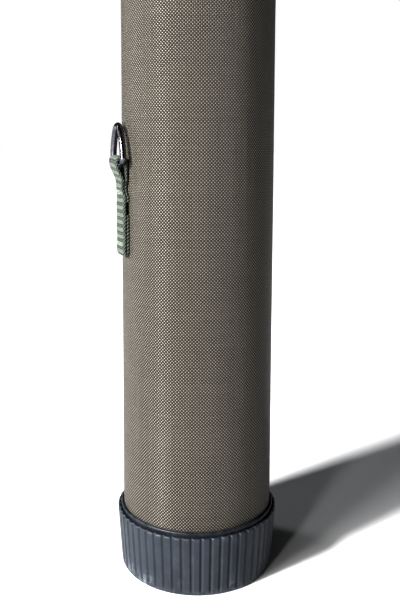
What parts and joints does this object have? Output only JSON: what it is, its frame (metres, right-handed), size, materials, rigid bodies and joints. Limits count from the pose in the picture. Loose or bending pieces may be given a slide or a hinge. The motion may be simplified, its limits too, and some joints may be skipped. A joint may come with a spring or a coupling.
{
  "type": "rod case",
  "caption": "Rigid tube case for fishing rods in a woven cover, with ribbed end caps, webbing tabs with D-rings and a carry handle.",
  "frame": {"origin": "centre of the bottom cap's flat face, on the tube's axis", "axes": "+Z along the tube, from the fixed bottom cap to the screw cap; the webbing tabs, rings and handle face 200 degrees from +X about +Z, so -X with 20 degrees towards -Y; the picture looks along +Y"},
  "size_m": [0.1173, 0.0836, 1.1],
  "materials": {
    "pipe_plastic": "smooth extruded grey plastic",
    "cover_fabric": "heavy plain-weave nylon, olive brown",
    "seam_fabric": "lapped plain-weave nylon, sewn with two rows",
    "cap_plastic": "moulded blue-black plastic, scuffed",
    "collar_plastic": "moulded blue-black plastic, rolled lip",
    "gasket_rubber": "soft black rubber",
    "foam": "closed-cell foam",
    "webbing": "sage-green ribbed webbing",
    "thread": "twisted sewing thread",
    "ring_metal": "gunmetal-plated wire",
    "grip_wrap": "padded woven wrap"
  },
  "bodies": {
    "root": {"pipe": "pipe_plastic", "cover": "cover_fabric", "cover_seam": "seam_fabric", "bottom_collar": "collar_plastic", "bottom_cap": "cap_plastic", "bottom_gasket": "gasket_rubber", "bottom_pad": "foam", "top_collar": "collar_plastic", "lower_tab": "webbing", "lower_tab_stitches": "thread", "upper_tab": "webbing", "upper_tab_stitches": "thread", "handle_strap": "webbing", "handle_grip": "grip_wrap", "lower_handle_stitches": "thread", "upper_handle_stitches": "thread"},
    "lower_d_ring": {"lower_ring": "ring_metal"},
    "upper_d_ring": {"upper_ring": "ring_metal"},
    "cap_liner": {"top_pad": "foam"},
    "screw_cap": {"top_cap": "cap_plastic", "top_gasket": "gasket_rubber"}
  },
  "joints": [
    {"name": "lower_ring_swing", "type": "hinge", "parent": "root", "child": "lower_d_ring", "pos_m": [-0.03933, -0.01431, 0.2104], "axis": [0.342, -0.9397, 0], "range_deg": [-3, 160]},
    {"name": "upper_ring_swing", "type": "hinge", "parent": "root", "child": "upper_d_ring", "pos_m": [-0.03933, -0.01431, 0.8896], "axis": [-0.342, 0.9397, 0], "range_deg": [-3, 160]},
    {"name": "cap_lift", "type": "slide", "parent": "root", "child": "cap_liner", "axis": [0, 0, 1], "range_m": [0, 0.01]},
    {"name": "cap_turn", "type": "hinge", "parent": "cap_liner", "child": "screw_cap", "pos_m": [0, 0, 1.085], "axis": [0, 0, 1], "range_deg": [0, 900]}
  ],
  "couplings": [
    {"joint": "cap_lift", "follows": "cap_turn", "m_per_rad": 0.00063662}
  ]
}
